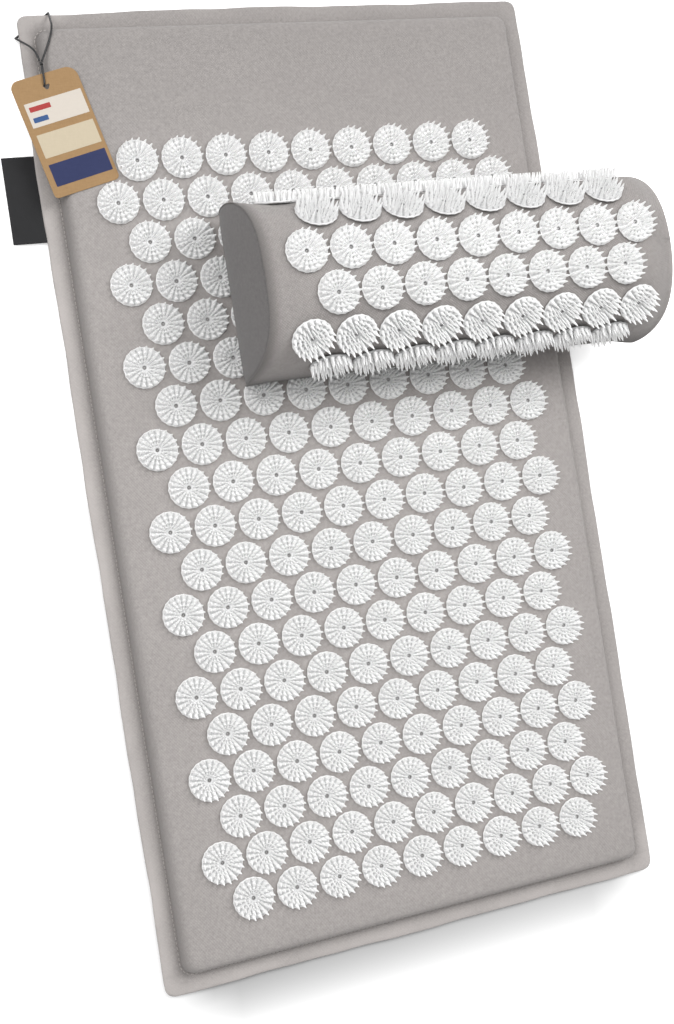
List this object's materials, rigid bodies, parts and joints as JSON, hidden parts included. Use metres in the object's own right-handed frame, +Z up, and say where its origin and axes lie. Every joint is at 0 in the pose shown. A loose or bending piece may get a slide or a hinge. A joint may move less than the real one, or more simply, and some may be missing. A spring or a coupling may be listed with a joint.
{
  "type": "acupressure mat and pillow set",
  "caption": "Flat foam mat in a fabric cover with staggered rows of round spiked plastic discs, a D-shaped pillow with the same discs lying across it, and a hang tag on a cord.",
  "frame": {"origin": "centre of the mat's underside", "axes": "+Y along the mat towards its head end, where the pillow lies; +Z up, out of the spiked face; +X to the right, seen from above with the head end away"},
  "size_m": [0.4992, 0.7477, 0.1265],
  "materials": {
    "cover_fabric": "matt woven cotton, warm light grey",
    "end_fabric": "matt woven cotton, darker grey",
    "foam": "open-cell foam, cream",
    "disc_plastic": "glossy white moulded plastic",
    "label_fabric": "black woven ribbon",
    "zip_tape": "matt woven tape, grey",
    "zip_teeth": "nylon coil, grey",
    "zip_metal": "dull nickel",
    "card": "uncoated kraft card",
    "cord": "black waxed cord"
  },
  "bodies": {
    "mat": {"mat_core": "foam", "mat_top_cover": "cover_fabric", "mat_base_cover": "cover_fabric", "side_label": "label_fabric", "mat_zip_tape": "zip_tape", "mat_zip_teeth": "zip_teeth", "tag_cord_loop": "cord", "tag_cord_knot": "cord", "mat_disc_row_01": "disc_plastic", "mat_disc_row_02": "disc_plastic", "mat_disc_row_03": "disc_plastic", "mat_disc_row_04": "disc_plastic", "mat_disc_row_05": "disc_plastic", "mat_disc_row_06": "disc_plastic", "mat_disc_row_07": "disc_plastic", "mat_disc_row_08": "disc_plastic", "mat_disc_row_09": "disc_plastic", "mat_disc_row_10": "disc_plastic", "mat_disc_row_11": "disc_plastic", "mat_disc_row_12": "disc_plastic", "mat_disc_row_13": "disc_plastic", "mat_disc_row_14": "disc_plastic", "mat_disc_row_15": "disc_plastic", "mat_disc_row_16": "disc_plastic", "mat_disc_row_17": "disc_plastic", "mat_disc_row_18": "disc_plastic", "mat_disc_row_19": "disc_plastic"},
    "mat_zip_slider": {"mat_zip_slider": "zip_metal"},
    "mat_zip_pull": {"mat_zip_pull": "zip_metal"},
    "pillow": {"pillow_top_cover": "cover_fabric", "pillow_base_cover": "cover_fabric", "pillow_end_left": "end_fabric", "pillow_end_right": "end_fabric", "pillow_filling": "foam", "pillow_zip_tape": "zip_tape", "pillow_zip_teeth": "zip_teeth", "pillow_disc_row_1": "disc_plastic", "pillow_disc_row_2": "disc_plastic", "pillow_disc_row_3": "disc_plastic", "pillow_disc_row_4": "disc_plastic", "pillow_disc_row_5": "disc_plastic", "pillow_disc_row_6": "disc_plastic"},
    "pillow_zip_slider": {"pillow_zip_slider": "zip_metal"},
    "pillow_zip_pull": {"pillow_zip_pull": "zip_metal"},
    "tag": {"tag_card": "card", "tag_cord_tail": "cord"}
  },
  "joints": [
    {"name": "pillow_lift", "type": "slide", "parent": "mat", "child": "pillow", "axis": [0, 0, 1], "range_m": [0, 0.15]},
    {"name": "mat_zip_slide", "type": "slide", "parent": "mat", "child": "mat_zip_slider", "axis": [0, -1, 0], "range_m": [0, 0.282]},
    {"name": "mat_zip_pull_swing", "type": "hinge", "parent": "mat_zip_slider", "child": "mat_zip_pull", "pos_m": [0.20165, 0.141, 0.0092], "axis": [0, 0, 1], "range_deg": [0, 175]},
    {"name": "pillow_zip_slide", "type": "slide", "parent": "pillow", "child": "pillow_zip_slider", "axis": [0, -1, 0], "range_m": [0, 0.074]},
    {"name": "pillow_zip_pull_swing", "type": "hinge", "parent": "pillow_zip_slider", "child": "pillow_zip_pull", "pos_m": [0.26565, 0.1732, 0.0593], "axis": [0, 0, 1], "range_deg": [0, 175]},
    {"name": "tag_swing", "type": "hinge", "parent": "mat", "child": "tag", "pos_m": [-0.199, 0.329, 0.0223], "axis": [0, 0, 1], "range_deg": [-60, 0]}
  ]
}
